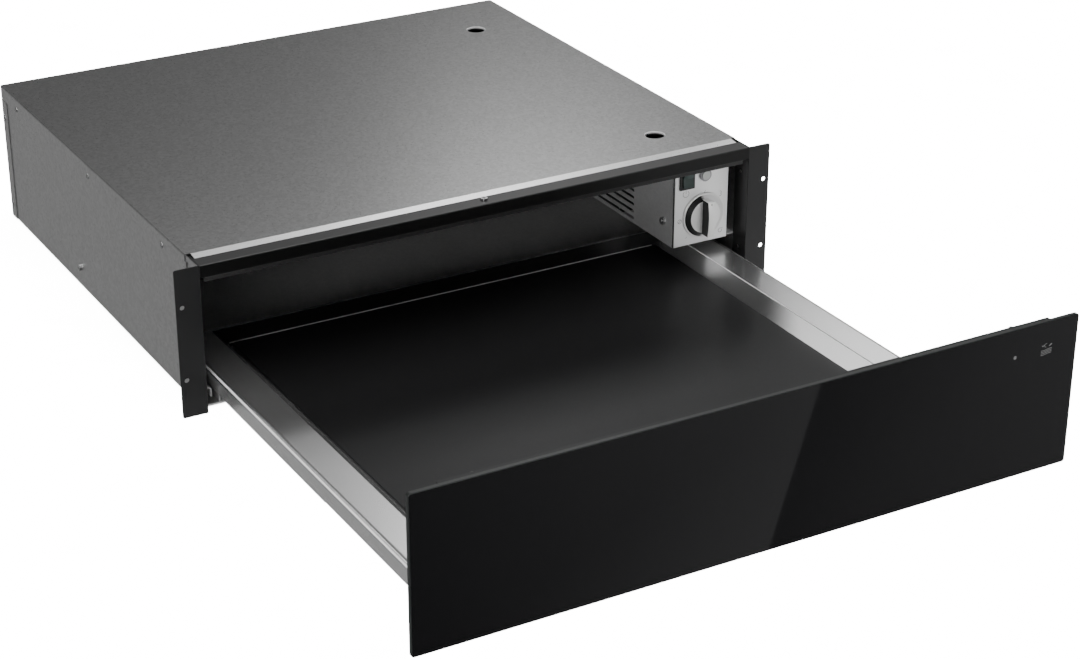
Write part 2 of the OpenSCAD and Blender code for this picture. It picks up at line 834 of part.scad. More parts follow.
module front_buffers() color(rubber) from_front() for (s = [-1, 1])
    rod_y(s * buffer_x, [carrier_back_y, buffer_end], buffer_z, buffer_d);

module latch_striker() color(bright) from_front() {
    y = latch_tip_y - latch_gap - travel;
    under = floor_z - tray_t;
    box([-striker_w / 2, striker_w / 2], [y - striker_foot, y], [under - striker_foot_t, under]);
    box([-striker_w / 2, striker_w / 2], [y - striker_t, y], [striker_low, under - striker_foot_t]);
}

// Push latch

module latch_housing() color("dimgray") from_front() difference() {
    y = latch_tip_y + plunger_tip_l + plunger_stroke + over;
    box([-latch_w / 2, latch_w / 2], [y, y + latch_l], [sheet_t, sheet_t + latch_h]);
    rod_y(0, [y - over, latch_tip_y + plunger_l + plunger_stroke + over], plunger_z,
        plunger_d + 2 * run_gap);
}

module latch_plunger() color("whitesmoke") from_front() {
    rod_y(0, [latch_tip_y, latch_tip_y + plunger_tip_l], plunger_z, plunger_tip_d);
    rod_y(0, [latch_tip_y + plunger_tip_l, latch_tip_y + plunger_l], plunger_z, plunger_d);
}

// Control box and plate

module control_box() color(steel) from_front() difference() {
    union() {
        box([box_x, box_in], [box_front, back_in], [box_z, rail_top - shelf_drop - sheet_gap]);
        box([box_x, box_in], [box_notch, back_in], [box_z, cover_under]);
        box([box_in, side_in], [box_front, back_in], [box_z, box_floor]);
        box([box_x, plate_x + plate_w], [plate_y + plate_t, box_front], [box_z, box_floor]);
        box([box_in, box_in + box_lid], [cover_hole_front + cover_hole_d, cover_hole_rear - cover_hole_d],
            [cover_under - sheet_t, cover_under]);
    }
    for (y = slot_ys, i = [0 : slot_rows - 1])
        translate([0, y + slot_l / 2, slot_z + i * slot_pitch]) along_x([box_x - over, box_in + over]) {
            square([slot_l - slot_h, slot_h], center = true);
            for (s = [-1, 1]) translate([s * (slot_l - slot_h) / 2, 0]) circle(d = slot_h, $fn = small_fn);
        }
    for (z = box_screw_zs) rod_x([box_x - over, box_in + over], box_screw_y, z, screw_d + 2 * pin_gap);
    for (y = [cover_hole_front, cover_hole_rear])
        box([box_x - over, box_in + over], [y - collar_notch, y + collar_notch],
            [case_h - collar_h - sheet_gap, cover_under + over]);
}

module box_screws() color(bright) from_front() for (z = box_screw_zs) difference() {
    union() {
        rod_x([box_x - screw_head_h, box_x], box_screw_y, z, screw_head_d);
        rod_x([box_x, box_x + box_screw_l], box_screw_y, z, screw_d);
    }
    rod_x([box_x - screw_head_h - over, box_x - screw_head_h + recess_h], box_screw_y, z, recess_d);
}

module control_plate() color("whitesmoke") from_front() difference() {
    union() {
        box([plate_x, plate_x + plate_w], [plate_y, plate_y + plate_t], [box_z, plate_top]);
        box([plate_x, plate_x + plate_t], [plate_y + plate_t, plate_tab], [box_floor + over, plate_top]);
    }
    for (z = box_screw_zs)
        rod_x([plate_x - over, plate_x + plate_t + over], box_screw_y, z, screw_d + 2 * pin_gap);
    through = [plate_y - over, plate_y + plate_t + over];
    rod_y(knob_x, through, knob_z, bush_d + 2 * pin_gap);
    rod_y(lamp_x, through, lamp_z, lamp_body_d + 2 * pin_gap);
    box([switch_x - switch_body_w / 2 - pin_gap, switch_x + switch_body_w / 2 + pin_gap], through,
        [switch_z - switch_body_h / 2 - pin_gap, switch_z + switch_body_h / 2 + pin_gap]);
}

module thermostat_body() color("gainsboro") from_front() difference() {
    back = plate_y + plate_t;
    union() {
        box([knob_x - thermo_w / 2, knob_x + thermo_w / 2], [back, back + thermo_t],
            [knob_z - thermo_w / 2, knob_z + thermo_w / 2]);
        rod_y(knob_x, [plate_y - bush_out, back], knob_z, bush_d);
    }
    rod_y(knob_x, [plate_y - bush_out - over, back + shaft_in], knob_z, shaft_d + 2 * run_gap);
}

module thermostat_nut() color(bright) from_front() difference() {
    rod_y(knob_x, [plate_y - nut_t, plate_y], knob_z, nut_d);
    rod_y(knob_x, [plate_y - nut_t - over, plate_y + over], knob_z, bush_d);
}

module thermostat_shaft() color(bright) from_front()
    rod_y(knob_x, [plate_y - knob_gap - knob_socket, plate_y + plate_t + shaft_in - sheet_gap],
        knob_z, shaft_d);

module thermostat_knob() color("silver") from_front() {
    rear = plate_y - knob_gap;
    rim = rear - skirt_t;
    face = rim - knob_h;
    difference() {
        union() {
            rod_y(knob_x, [rim, rear], knob_z, knob_d);
            translate([knob_x, rim, knob_z]) rotate([90, 0, 0])
                cylinder(h = knob_h, d1 = knob_d - 2 * knob_rim, d2 = knob_face_d, $fn = bore_fn);
            intersection() {
                rod_y(knob_x, [face - grip_h, rim], knob_z, grip_l);
                box([knob_x - grip_w / 2, knob_x + grip_w / 2], [face - grip_h, rim],
                    [knob_z - grip_l / 2, knob_z + grip_l / 2]);
            }
        }
        rod_y(knob_x, [rear - knob_socket, rear + over], knob_z, shaft_d + 2 * run_gap);
        rod_y(knob_x, [rear - nut_t - knob_gap, rear + over], knob_z, nut_recess_d);
    }
}

module switch_housing() color(black) from_front() difference() {
    union() {
        along_y([plate_y - switch_bezel_t, plate_y]) translate([switch_x, switch_z])
            square([switch_w, switch_h], center = true);
        along_y([plate_y, plate_y + switch_body_l]) translate([switch_x, switch_z])
            square([switch_body_w, switch_body_h], center = true);
    }
    along_y([plate_y - switch_bezel_t - over, plate_y + switch_pocket_l]) translate([switch_x, switch_z])
        square([switch_pocket_w, switch_pocket_h], center = true);
    rod_x([switch_x - rocker_w / 2 - rocker_pin_l - pin_gap, switch_x + rocker_w / 2 + rocker_pin_l + pin_gap],
        rocker_axis_y, switch_z, rocker_pin_d + 2 * run_gap);
}

module switch_rocker() color([0.06, 0.09, 0.08]) from_front() {
    translate([0, rocker_axis_y, switch_z]) rotate([rocker_tilt, 0, 0])
        along_x([switch_x - rocker_w / 2, switch_x + rocker_w / 2]) polygon([
            [-rocker_crest, rocker_h / 2], [-rocker_valley, 0], [-rocker_crest, -rocker_h / 2],
            [rocker_pin_d / 2, -rocker_h / 2], [rocker_back, 0], [rocker_pin_d / 2, rocker_h / 2]]);
    rod_x([switch_x - rocker_w / 2 - rocker_pin_l, switch_x + rocker_w / 2 + rocker_pin_l],
        rocker_axis_y, switch_z, rocker_pin_d);
}

module lamp_body() color("gray") from_front() difference() {
    union() {
        rod_y(lamp_x, [plate_y - lamp_ring_t, plate_y], lamp_z, lamp_d);
        rod_y(lamp_x, [plate_y, plate_y + lamp_body_l], lamp_z, lamp_body_d);
    }
    rod_y(lamp_x, [plate_y - lamp_ring_t - over, plate_y], lamp_z, lamp_lens_d);
}

module lamp_lens() color("gainsboro") from_front()
    rod_y(lamp_x, [plate_y - lamp_ring_t - lamp_lens_out, plate_y], lamp_z, lamp_lens_d);

// Fan, blowing along X

module fan_frame() color(black) from_front() translate([box_in, fan_y, fan_z]) {
    difference() {
        box([0, fan_t], [-fan_w / 2, fan_w / 2], [-fan_w / 2, fan_w / 2]);
        rod_x([-over, fan_t + over], 0, 0, fan_bore_d, bore_fn);
        fan_ears() rod_x([-over, fan_t + over], 0, 0, fan_ear_d);
    }
    difference() {
        union() {
            rod_x([fan_t - seat_t, fan_t], 0, 0, seat_d, bore_fn);
            intersection() {
                for (i = [0 : spokes - 1]) rotate([i * 360 / spokes + 360 / spokes / 2, 0, 0])
                    box([fan_t - seat_t, fan_t], [0, fan_w / 2], [-spoke_w / 2, spoke_w / 2]);
                rod_x([0, fan_t], 0, 0, fan_bore_d, bore_fn);
            }
        }
        rod_x([0, fan_t + over], 0, 0, fan_shaft_d + 2 * run_gap);
    }
}

module fan_ears() for (sy = [-1, 1], sz = [-1, 1])
    translate([0, sy * fan_ear_pitch / 2, sz * fan_ear_pitch / 2]) children();

module fan_screws() color(bright) from_front() translate([box_in, fan_y, fan_z]) fan_ears() {
    rod_x([0, fan_t], 0, 0, fan_ear_d - 2 * pin_gap);
    rod_x([fan_t, fan_t + screw_head_h], 0, 0, screw_head_d);
}

module fan_stator() color("chocolate") from_front() translate([box_in, fan_y, fan_z]) difference() {
    rod_x([fan_t - seat_t - stator_l, fan_t - seat_t], 0, 0, stator_d, bore_fn);
    rod_x([0, fan_t], 0, 0, fan_shaft_d + 2 * run_gap);
}

module fan_impeller() color(black) from_front() translate([box_in + hub_front, fan_y, fan_z]) {
    difference() {
        rod_x([0, hub_l], 0, 0, hub_d, bore_fn);
        rod_x([hub_front, hub_l + over], 0, 0, hub_d - 2 * hub_wall, bore_fn);
        rod_x([-over, hub_l], 0, 0, fan_shaft_d);
    }
    difference() {
        intersection() {
            for (i = [0 : blades - 1]) rotate([i * 360 / blades, 0, 0])
                translate([hub_l / 2, 0, hub_d / 2 - hub_wall]) rotate([0, 0, blade_pitch])
                    box([-blade_l / 2, blade_l / 2], [-blade_t / 2, blade_t / 2], [0, fan_w / 2]);
            rod_x([0, hub_l], 0, 0, fan_bore_d - 2 * blade_tip, bore_fn);
        }
        rod_x([-over, hub_l + over], 0, 0, hub_d - hub_wall, bore_fn);
    }
}

module fan_shaft() color(bright) from_front() translate([box_in, fan_y, fan_z])
    rod_x([hub_front, fan_t], 0, 0, fan_shaft_d);

// Heating tube and connections

module heating_element() color("dimgray") from_front() translate([box_in + tube_x, tube_y, tube_z]) {
    for (z = [0, 2 * tube_bend]) rod_y(0, [0, tube_run], z, tube_d);
    translate([0, tube_run, tube_bend]) rotate([0, 90, 0])
        rotate_extrude(angle = 180, $fn = bore_fn) translate([tube_bend, 0]) circle(d = tube_d, $fn = small_fn);
}

module element_brackets() color(bright) from_front() for (y = bracket_ys) difference() {
    box([box_in, box_in + tube_x + tube_d / 2 + bracket_edge], [y, y + bracket_t],
        [tube_z - tube_d / 2 - bracket_edge, tube_z + 2 * tube_bend + tube_d / 2 + bracket_edge]);
    for (z = [0, 2 * tube_bend]) rod_y(box_in + tube_x, [y - over, y + bracket_t + over],
        tube_z + z, tube_d + 2 * run_gap);
}

module element_terminals() color("whitesmoke") from_front()
    for (z = [0, 2 * tube_bend]) translate([box_in + tube_x, tube_y, tube_z + z]) {
        rod_y(0, [-terminal_l, 0], 0, terminal_d);
        rod_y(0, [-terminal_l - stud_l, -terminal_l], 0, stud_d, small_fn);
    }

module thermal_cutout() color("gainsboro") from_front() translate([box_in, cutout_y, cutout_z]) {
    rod_x([0, cutout_h], 0, 0, cutout_d);
    box([0, sheet_t], [-cutout_tab_w / 2, cutout_tab_w / 2], [-cutout_tab_h / 2, cutout_tab_h / 2]);
}

module terminal_block() color("whitesmoke") from_front() difference() {
    x = inlet_x - block_w / 2;
    box([x, x + block_w], [block_y, block_y + block_l], [box_floor, box_floor + block_h]);
    for (i = [0 : block_poles - 1]) {
        px = x + (i + 0.5) * block_w / block_poles;
        rod_y(px, [block_y - over, block_y + block_l + over], box_floor + block_h / 2, block_bore_d);
        rod_z(px, block_y + block_l / 2, [box_floor + block_h / 2, box_floor + block_h + over], block_bore_d);
    }
}

module cable_inlet() color(black) from_front() difference() {
    union() {
        rod_y(inlet_x, [case_d, case_d + inlet_flange_t], inlet_z, inlet_flange_d);
        rod_y(inlet_x, [case_d + inlet_flange_t, case_d + inlet_flange_t + inlet_dome_t], inlet_z,
            inlet_dome_d);
        rod_y(inlet_x, [case_d - inlet_neck_l, case_d], inlet_z, inlet_hole_d);
    }
    rod_y(inlet_x, [case_d - inlet_neck_l - over, case_d + inlet_flange_t + inlet_dome_t + over], inlet_z,
        inlet_bore_d);
}

module inlet_nut() color(black) from_front() difference() {
    rod_y(inlet_x, [back_in - inlet_nut_t, back_in], inlet_z, inlet_nut_d);
    rod_y(inlet_x, [back_in - inlet_nut_t - over, back_in + over], inlet_z, inlet_hole_d);
}

base_plate();
side_panel_left();
side_panel_right();
top_cover();
back_panel();
front_rail();
rail_seal();
mounting_flange_left();
mounting_flange_right();
casing_rivets();
flange_rivets();
runner_screws();
rail_screw();
runner_rail_left();
runner_rail_right();
control_box();
control_plate();
box_screws();
thermostat_body();
thermostat_nut();
switch_housing();
lamp_body();
lamp_lens();
fan_frame();
fan_stator();
fan_screws();
heating_element();
element_brackets();
element_terminals();
thermal_cutout();
terminal_block();
cable_inlet();
inlet_nut();
latch_housing();
drawer_tray();
floor_mat();
front_carrier();
front_glass();
light_guide();
front_screws();
front_buffers();
latch_striker();
runner_slider_left();
runner_slider_right();
runner_middle_left();
runner_middle_right();
cage_outer_left();
cage_outer_right();
cage_inner_left();
cage_inner_right();
thermostat_knob();
thermostat_shaft();
switch_rocker();
fan_impeller();
fan_shaft();
latch_plunger();
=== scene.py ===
import json
import math

import bmesh
import bpy
from mathutils import Matrix, Vector


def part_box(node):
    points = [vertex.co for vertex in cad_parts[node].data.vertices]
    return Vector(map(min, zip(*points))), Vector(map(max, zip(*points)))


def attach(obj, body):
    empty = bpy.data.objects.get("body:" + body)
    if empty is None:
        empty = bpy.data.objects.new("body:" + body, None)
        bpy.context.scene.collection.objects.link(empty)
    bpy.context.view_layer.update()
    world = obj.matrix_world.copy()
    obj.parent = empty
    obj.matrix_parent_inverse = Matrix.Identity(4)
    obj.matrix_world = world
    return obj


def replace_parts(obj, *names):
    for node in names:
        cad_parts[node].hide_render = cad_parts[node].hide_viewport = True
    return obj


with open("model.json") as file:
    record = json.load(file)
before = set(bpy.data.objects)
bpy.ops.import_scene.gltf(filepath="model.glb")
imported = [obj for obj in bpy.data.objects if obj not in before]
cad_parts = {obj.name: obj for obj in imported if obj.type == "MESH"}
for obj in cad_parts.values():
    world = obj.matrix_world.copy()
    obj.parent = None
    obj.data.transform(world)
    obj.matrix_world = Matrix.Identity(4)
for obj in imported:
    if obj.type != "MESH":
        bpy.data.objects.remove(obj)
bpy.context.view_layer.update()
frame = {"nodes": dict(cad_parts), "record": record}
N = frame["nodes"]
scene = bpy.context.scene

# The casing's front edge in the row frame, m
FRONT = -0.2392


def mm(x, y, z):
    """A place in the row frame, from millimetres with y counted from the casing's front edge"""
    return Vector((x / 1000, y / 1000 + FRONT, z / 1000))


# Camera: the photograph's, from a fit to its straight edges. Sizes in the picture are in pixels
PICTURE = (1080, 659)
CENTRE = (521.79, 330.57)
FOCAL = 2469.68
SENSOR = 36
AZIMUTH, ELEVATION, ROLL = math.radians(-29.1785), math.radians(25.5298), -0.002154
EYE = mm(-947.62, -1778.23, 966.59)

forward = Vector((
    -math.sin(AZIMUTH) * math.cos(ELEVATION),
    math.cos(AZIMUTH) * math.cos(ELEVATION),
    -math.sin(ELEVATION),
))
level = Vector((math.cos(AZIMUTH), math.sin(AZIMUTH), 0))
upright = level.cross(forward)
right = level + ROLL * upright
up = upright - ROLL * level
cam = bpy.data.objects.new("camera", bpy.data.cameras.new("camera"))
scene.collection.objects.link(cam)
cam.matrix_world = Matrix([[right[i], up[i], -forward[i], EYE[i]] for i in range(3)] + [[0, 0, 0, 1]])
cam.data.sensor_width = SENSOR
cam.data.lens = SENSOR * FOCAL / PICTURE[0]
cam.data.shift_x = (PICTURE[0] / 2 - CENTRE[0]) / PICTURE[0]
cam.data.shift_y = (CENTRE[1] - PICTURE[1] / 2) / PICTURE[0]
cam.data.clip_end = 50
scene.camera = cam


# Materials
PIECE, ROOM = "ShaderNodeTexCoord", "ShaderNodeNewGeometry"


class Mat:
    """A material whose colour, gloss and grain come from noise in the piece's own coordinates; its colour
    can also follow the way a surface faces, for painted light and shade
    """

    def __init__(self, name, base, metallic, rough, **sockets):
        self.m = bpy.data.materials.new(name)
        self.m.use_nodes = True
        self.t = self.m.node_tree
        self.b = self.t.nodes["Principled BSDF"]
        self.b.inputs["Base Color"].default_value = (*base, 1)
        self.b.inputs["Metallic"].default_value = metallic
        self.b.inputs["Roughness"].default_value = rough
        for k, v in sockets.items():
            self.b.inputs[k.replace("_", " ")].default_value = v
        self.co = self.t.nodes.new("ShaderNodeTexCoord").outputs["Object"]

    def add(self, kind, **props):
        n = self.t.nodes.new(kind)
        for k, v in props.items():
            setattr(n, k, v)
        return n

    def link(self, a, b):
        self.t.links.new(a, b)

    def stretched(self, scale):
        """The piece's coordinates, scaled along each axis"""
        n = self.add("ShaderNodeMapping")
        n.inputs["Scale"].default_value = scale
        self.link(self.co, n.inputs["Vector"])
        return n.outputs["Vector"]

    def facing(self, axis, space):
        """One part of the surface's direction, in the piece's own frame (PIECE) or the room's (ROOM)"""
        n = self.add("ShaderNodeSeparateXYZ")
        self.link(self.add(space).outputs["Normal"], n.inputs[0])
        return n.outputs[axis]

    def noise(self, scale, detail, vec=None):
        n = self.add("ShaderNodeTexNoise")
        n.inputs["Scale"].default_value = scale
        n.inputs["Detail"].default_value = detail
        self.link(vec or self.co, n.inputs["Vector"])
        return n.outputs["Fac"]

    def cells(self, scale):
        n = self.add("ShaderNodeTexVoronoi")
        n.inputs["Scale"].default_value = scale
        self.link(self.co, n.inputs["Vector"])
        return n.outputs["Color"]

    def remap(self, fac, low, high, start=0.0, end=1.0):
        """Low where fac is start or less, high where it is end or more"""
        n = self.add("ShaderNodeMapRange")
        n.inputs["From Min"].default_value = start
        n.inputs["From Max"].default_value = end
        n.inputs["To Min"].default_value = low
        n.inputs["To Max"].default_value = high
        self.link(fac, n.inputs["Value"])
        return n.outputs["Result"]

    def blend(self, fac, one, two):
        """From one to two; each is a colour or a socket"""
        n = self.add("ShaderNodeMix", data_type="RGBA")
        for key, colour in (("A", one), ("B", two)):
            if isinstance(colour, tuple):
                n.inputs[key].default_value = (*colour, 1)
            else:
                self.link(colour, n.inputs[key])
        self.link(fac, n.inputs["Factor"])
        return n.outputs["Result"]

    def colour(self, out):
        self.link(out, self.b.inputs["Base Color"])

    def vary_gloss(self, fac, rough, spread):
        """Roughness that follows the middle of a noise's range"""
        self.link(self.remap(fac, rough - spread, rough + spread, 0.3, 0.7), self.b.inputs["Roughness"])

    def bump(self, height, strength):
        n = self.add("ShaderNodeBump")
        n.inputs["Strength"].default_value = strength
        n.inputs["Distance"].default_value = 0.0002
        self.link(height, n.inputs["Height"])
        self.link(n.outputs["Normal"], self.b.inputs["Normal"])


def grey(v, tint=(1, 1, 1)):
    return tuple(v * t for t in tint)


def galvanised(name, value, rough, metallic, spangle=0.13, lip=None):
    """Zinc-coated sheet: small spangles differ in shade, and faces whose normal has lip as Z are paler, a
    painted highlight
    """
    m = Mat(name, grey(value), metallic, rough)
    shade = m.blend(m.remap(m.cells(380), 0, 1), grey(value * (1 - spangle)), grey(value * (1 + spangle)))
    # Painted highlight: faces turned like the lip are blended towards a pale grey
    if lip:
        lip_highlight_mask = m.add("ShaderNodeMath", operation="COMPARE")
        lip_highlight_mask.inputs[1].default_value = lip
        lip_highlight_mask.inputs[2].default_value = (1 - lip) / 2
        m.link(m.facing("Z", PIECE), lip_highlight_mask.inputs[0])
        shade = m.blend(lip_highlight_mask.outputs[0], shade, grey(0.95))
    m.colour(shade)
    m.vary_gloss(m.noise(900, 4), rough, 0.03)
    return m.m


def brushed(name, value, rough, axis=1, spread=0.025, tint=(1, 1, 1), metallic=1.0):
    """Sheet with faint clouds, and a rolled grain along one axis where spread isn't zero"""
    m = Mat(name, grey(value, tint), metallic, rough)
    clouds = m.remap(m.noise(9, 2), 0, 1, 0.35, 0.65)
    m.colour(m.blend(clouds, grey(value * 0.94, tint), grey(value * 1.04, tint)))
    if spread:
        scale = [900.0, 900.0, 900.0]
        scale[axis] = 12.0
        m.vary_gloss(m.noise(1.0, 3, m.stretched(scale)), rough, spread)
    return m.m


def coated(name, base, rough, grain, bump=0.0, metallic=0.0, spread=0.05, **sockets):
    """Paint, plastic or rubber with a fine grain"""
    m = Mat(name, base, metallic, rough, **sockets)
    fine = m.noise(grain, 3)
    m.vary_gloss(fine, rough, spread)
    m.colour(m.blend(m.noise(25, 2), grey(0.93, base), grey(1.07, base)))
    if bump:
        m.bump(fine, bump)
    return m.m


def painted_by_direction(name, metallic, rough, axis, low, high, one, two, space=PIECE):
    """Painted light and shade: shade one where the surface's direction along the axis is up to low, two
    where it is from high on
    """
    m = Mat(name, grey(two), metallic, rough)
    m.colour(m.blend(m.remap(m.facing(axis, space), 0, 1, low, high), grey(one), grey(two)))
    return m.m


M = {
    "galvanised": galvanised("galvanised", 0.5, 0.3, 0.96),
    "tray_steel": brushed("tray_steel", 0.72, 0.33, spread=0),
    "runner_steel": brushed("runner_steel", 0.7, 0.3, metallic=0.85),
    "fastener": brushed("fastener", 0.66, 0.28, axis=2),
    "black_metal": coated("black_metal", (0.012, 0.012, 0.0125), 0.4, 1200, 0.04),
    "front_glass": coated("front_glass", (0.003, 0.003, 0.0033), 0.03, 300, spread=0.01),
    "mat": coated("mat", (0.011, 0.011, 0.0115), 0.38, 1500, 0.02, Specular_IOR_Level=0.22),
    "seal": coated("seal", grey(0.02), 0.5, 800, 0.04),
    "plate": brushed("plate", 0.93, 0.32, axis=0, spread=0.01, metallic=0.25),
    "grey_metal": coated("grey_metal", (0.024, 0.027, 0.0255), 0.45, 900, 0.03),
    "knob": coated("knob", (0.82, 0.82, 0.81), 0.33, 600, metallic=0.25, spread=0.01),
    "rocker": coated("rocker", (0.045, 0.062, 0.058), 0.2, 500, 0.02, spread=0.02),
    "black_plastic": coated("black_plastic", grey(0.02), 0.45, 900, 0.1),
    "grey_plastic": coated("grey_plastic", (0.25, 0.25, 0.26), 0.45, 900, 0.1),
    "pale_plastic": coated("pale_plastic", (0.7, 0.69, 0.65), 0.5, 900, 0.1),
    "clear_plastic": coated("clear_plastic", (0.42, 0.43, 0.42), 0.2, 400, 0.02, spread=0.02),
    "copper": brushed("copper", 0.7, 0.35, axis=0, tint=(0.95, 0.5, 0.28)),
    "tube": brushed("tube", 0.4, 0.42, tint=(1, 0.95, 0.9)),
}
# The upward part of the direction of the cover's sloping lip, its largest face that leans forward; faces
# turned this way get a painted highlight
cover_faces = N["top_cover"].data.polygons
lip = max((f.area, f.normal.z) for f in cover_faces if -0.7 < f.normal.y < -0.02)[1]
INSIDE = galvanised("galvanised_inside", 0.6, 0.36, 0.15, 0.05)
# Nodes that don't look like the rest of their slot
OWN = {
    "base_plate": INSIDE,
    "control_box": INSIDE,
    # Front rail: top faces are painted paler than the black front face, a painted highlight
    "front_rail": painted_by_direction("rail_black_painted_lit_top", 0.0, 0.36, "Z", 0.3, 0.9, 0.002, 0.035),
    # Tray: faces turned to the front, such as the rear slope, are painted dark, a painted shade from the
    # casing
    "drawer_tray": painted_by_direction("tray_sheet_painted_shade", 0.94, 0.25, "Y", -0.6, -0.2, 0.08, 0.78),
    "front_carrier": M["mat"],
    "top_cover": galvanised("galvanised_cover_painted_lip_highlight", 0.5, 0.3, 0.96, lip=lip),
}
for sub in frame["record"]["subparts"]:
    node = sub["node"]
    N[node].data.materials.clear()
    N[node].data.materials.append(OWN[node] if node in OWN else M[sub["material_slot"]])


# Mesh helpers
def new_object(name, bm, material):
    me = bpy.data.meshes.new(name)
    bm.to_mesh(me)
    bm.free()
    me.materials.append(material)
    o = bpy.data.objects.new(name, me)
    scene.collection.objects.link(o)
    return o


def piece(name, bm, material, body, smooth=None):
    bmesh.ops.recalc_face_normals(bm, faces=bm.faces[:])
    o = new_object(name, bm, material)
    if smooth:
        o.data.shade_smooth()
        o.data.set_sharp_from_angle(angle=math.radians(smooth))
    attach(o, body)
    return o


def middle(lo, hi, axis):
    """Middle and width of a box along one axis"""
    return (lo[axis] + hi[axis]) / 2, hi[axis] - lo[axis]


def turn(n):
    """The angles of n even steps round a circle"""
    return [2 * math.pi * i / n for i in range(n)]


def rounded(w, h, r, steps=6):
    """A rounded rectangle round the origin, as (a, b) pairs"""
    out = []
    for k, (sx, sy) in enumerate(((1, 1), (-1, 1), (-1, -1), (1, -1))):
        for i in range(steps + 1):
            a = math.pi / 2 * (k + i / steps)
            out.append((sx * (w / 2 - r) + r * math.cos(a), sy * (h / 2 - r) + r * math.sin(a)))
    return out


def rings(bm, loops, cap=True):
    """Skins a list of point loops into a tube, closed at both ends by cap"""
    made = [[bm.verts.new(p) for p in loop] for loop in loops]
    for a, b in zip(made, made[1:]):
        for i in range(len(a)):
            j = (i + 1) % len(a)
            bm.faces.new((a[i], a[j], b[j], b[i]))
    if cap:
        bm.faces.new(made[0])
        bm.faces.new(list(reversed(made[-1])))


def lathe(bm, centre, axis, profile, n=32):
    """Turns (radius, height) pairs, mm, about an axis through centre"""
    axis = Vector(axis).normalized()
    u = axis.orthogonal().normalized()
    w = axis.cross(u)
    least = 0.002
    loops = []
    for r, h in profile:
        hub, reach = centre + axis * (h / 1000), max(r, least) / 1000
        loops.append([hub + (u * math.cos(t) + w * math.sin(t)) * reach for t in turn(n)])
    rings(bm, loops)


def ribbon(bm, pts, width, y):
    """A flat stroke in an XZ plane through the given points, mm"""
    one, two = [], []
    for i, p in enumerate(pts):
        a, b = pts[max(i - 1, 0)], pts[min(i + 1, len(pts) - 1)]
        dx, dz = b[0] - a[0], b[1] - a[1]
        s = math.hypot(dx, dz) or 1
        nx, nz = -dz / s * width / 2, dx / s * width / 2
        one.append(bm.verts.new(mm(p[0] + nx, y, p[1] + nz)))
        two.append(bm.verts.new(mm(p[0] - nx, y, p[1] - nz)))
    for i in range(len(pts) - 1):
        bm.faces.new((one[i], one[i + 1], two[i + 1], two[i]))


def arc(cx, cz, r, start, end, n):
    """Points along a circle from start to end degrees"""
    angles = [math.radians(start + (end - start) * i / n) for i in range(n + 1)]
    return [(cx + r * math.cos(a), cz + r * math.sin(a)) for a in angles]


# Glass front with ground edges, m
GLASS_CORNER, GLASS_GRIND = 0.0025, 0.0006
lo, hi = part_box("front_glass")
(cx, w), (cz, h) = middle(lo, hi, 0), middle(lo, hi, 2)
bm = bmesh.new()
loops = []
for y, inset in ((hi.y, GLASS_GRIND), (hi.y - GLASS_GRIND, 0), (lo.y + GLASS_GRIND, 0), (lo.y, GLASS_GRIND)):
    outline = rounded(w - 2 * inset, h - 2 * inset, GLASS_CORNER - inset)
    loops.append([(cx + a, y, cz + b) for a, b in outline])
rings(bm, loops)
glass = piece("glass_front", bm, M["front_glass"], "drawer")
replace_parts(glass, "front_glass")
glass.data.materials.append(coated("glass_edge", (0.009, 0.011, 0.0105), 0.4, 900))
for f in glass.data.polygons:
    if abs(f.normal.y) < 0.95:
        f.material_index = 1

# Floor plate with ground edges, m
PLATE_CORNER, PLATE_GRIND = 0.004, 0.0004
lo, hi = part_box("floor_mat")
(cx, w), (cy, h) = middle(lo, hi, 0), middle(lo, hi, 1)
bm = bmesh.new()
loops = []
for z, inset in ((lo.z, 0.0), (hi.z - PLATE_GRIND, 0.0), (hi.z, PLATE_GRIND)):
    outline = rounded(w - 2 * inset, h - 2 * inset, PLATE_CORNER - inset)
    loops.append([(cx + a, cy + b, z) for a, b in outline])
rings(bm, loops)
mat = piece("floor_plate", bm, M["mat"], "drawer")
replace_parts(mat, "floor_mat")

# The bend of the sheet along the floor plate's rear edge: a bead of this radius, m, in pale grey as a
# painted highlight
BEAD = 0.0006
rear = cy + h / 2
bm = bmesh.new()
rings(bm, [
    [(x, rear + BEAD * math.cos(t), hi.z + BEAD * math.sin(t)) for t in turn(12)]
    for x in (cx - w / 2 - 0.002, cx + w / 2 - 0.004)
])
piece("plate_bend", bm, coated("plate_bend_painted_highlight", grey(0.5), 0.35, 900), "drawer", 60)

# The tray's side rims: painted highlights, a pale strip just off each rounded outer edge, and on the right
# one's inner edge
OFF = 0.00006
HIGHLIGHT_STRIP = [math.radians(43 + 4 * i) for i in range(7)]
tray = N["drawer_tray"]
corners = [tray.matrix_world @ v.co for v in tray.data.vertices]
top = max(v.z for v in corners)
rim = [v.x for v in corners if v.z > top - 0.0001]
flat, inner = max(rim), min(x for x in rim if x > 0.2)
lo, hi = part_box("drawer_tray")
bend = hi.x - flat
reach = bend + OFF
bm = bmesh.new()
for s in (-1, 1):
    rings(bm, [
        [Vector((s * (flat + reach * math.sin(t)), y, top - bend + reach * math.cos(t))) for t in HIGHLIGHT_STRIP]
        for y in (lo.y + 0.001, hi.y - 0.001)
    ])
rings(bm, [
    [Vector((inner + BEAD * math.cos(t), y, top - 0.0003 + BEAD * math.sin(t))) for t in turn(12)]
    for y in (lo.y + 0.001, hi.y - 0.012)
])
piece("rim_painted_highlights", bm, coated("rim_painted_highlight", grey(0.95), 0.3, 600), "drawer", 50)

